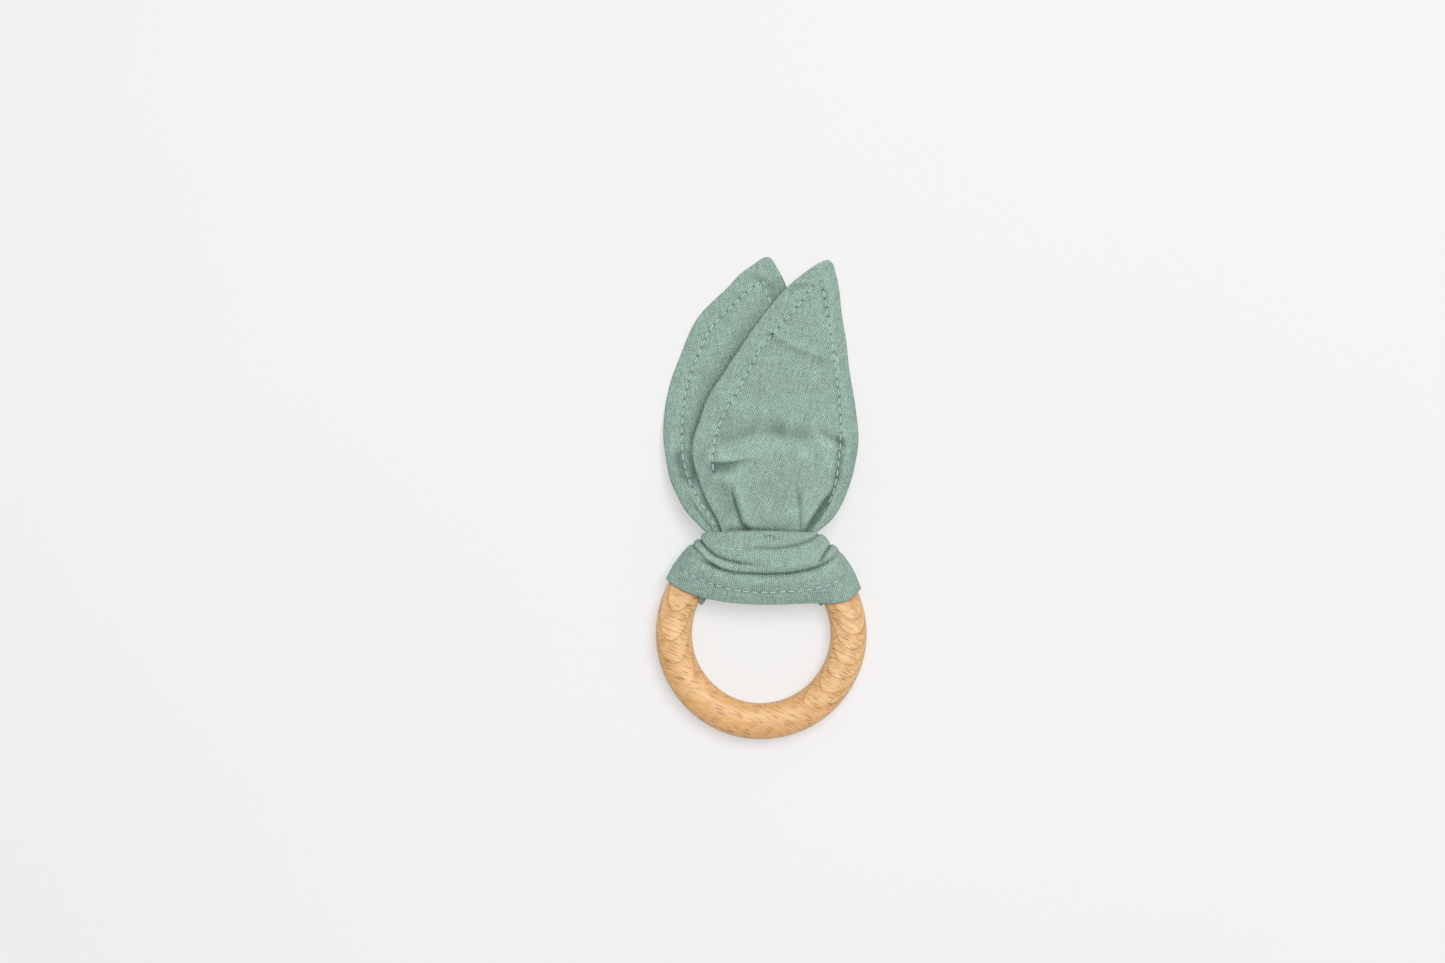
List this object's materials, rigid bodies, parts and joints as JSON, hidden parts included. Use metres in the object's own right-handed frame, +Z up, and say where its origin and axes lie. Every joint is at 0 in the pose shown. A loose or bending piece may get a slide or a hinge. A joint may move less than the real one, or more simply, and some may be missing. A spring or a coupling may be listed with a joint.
{
  "type": "teething ring",
  "caption": "Wooden teething ring with a stitched cloth strip tied over its bar in a lark's head knot, the two strip ends forming overlapping leaf-shaped ears.",
  "frame": {"origin": "centre of the bounding box at table level, with the object lying flat", "axes": "+Z up from the table, +Y from the ring towards the tips of the ears, +X to the right seen from above"},
  "size_m": [0.07, 0.1604, 0.0216],
  "materials": {
    "beech": "oiled beech, satin",
    "sage_cloth": "plain-weave muslin, matt",
    "sage_thread": "sewing thread"
  },
  "bodies": {
    "ring": {"wooden_ring": "beech"},
    "tie": {"knot_loop": "sage_cloth", "knot_topstitch": "sage_thread", "left_wrap": "sage_cloth", "right_wrap": "sage_cloth"},
    "rear_ear": {"rear_ear_back_panel": "sage_cloth", "rear_ear_face_panel": "sage_cloth", "rear_ear_edge_seam": "sage_thread", "rear_ear_topstitch": "sage_thread"},
    "front_ear_base": {"front_ear_neck": "sage_cloth"},
    "front_ear": {"front_ear_back_panel": "sage_cloth", "front_ear_face_panel": "sage_cloth", "front_ear_edge_seam": "sage_thread", "front_ear_topstitch": "sage_thread"}
  },
  "joints": [
    {"name": "tie_slides_round_ring", "type": "hinge", "parent": "ring", "child": "tie", "pos_m": [0, -0.0452, 0.0068], "axis": [0, 0, 1], "continuous": true},
    {"name": "rear_ear_swing", "type": "hinge", "parent": "tie", "child": "rear_ear", "pos_m": [0, -0.0162, 0.0136], "axis": [0, 0, 1], "range_deg": [-8, 20]},
    {"name": "front_ear_swing", "type": "hinge", "parent": "tie", "child": "front_ear_base", "pos_m": [0, -0.0162, 0.0166], "axis": [0, 0, 1], "range_deg": [-20, 8]},
    {"name": "front_ear_lift", "type": "hinge", "parent": "front_ear_base", "child": "front_ear", "pos_m": [0, -0.003, 0.0177], "axis": [1, 0, 0], "range_deg": [0, 120]}
  ]
}
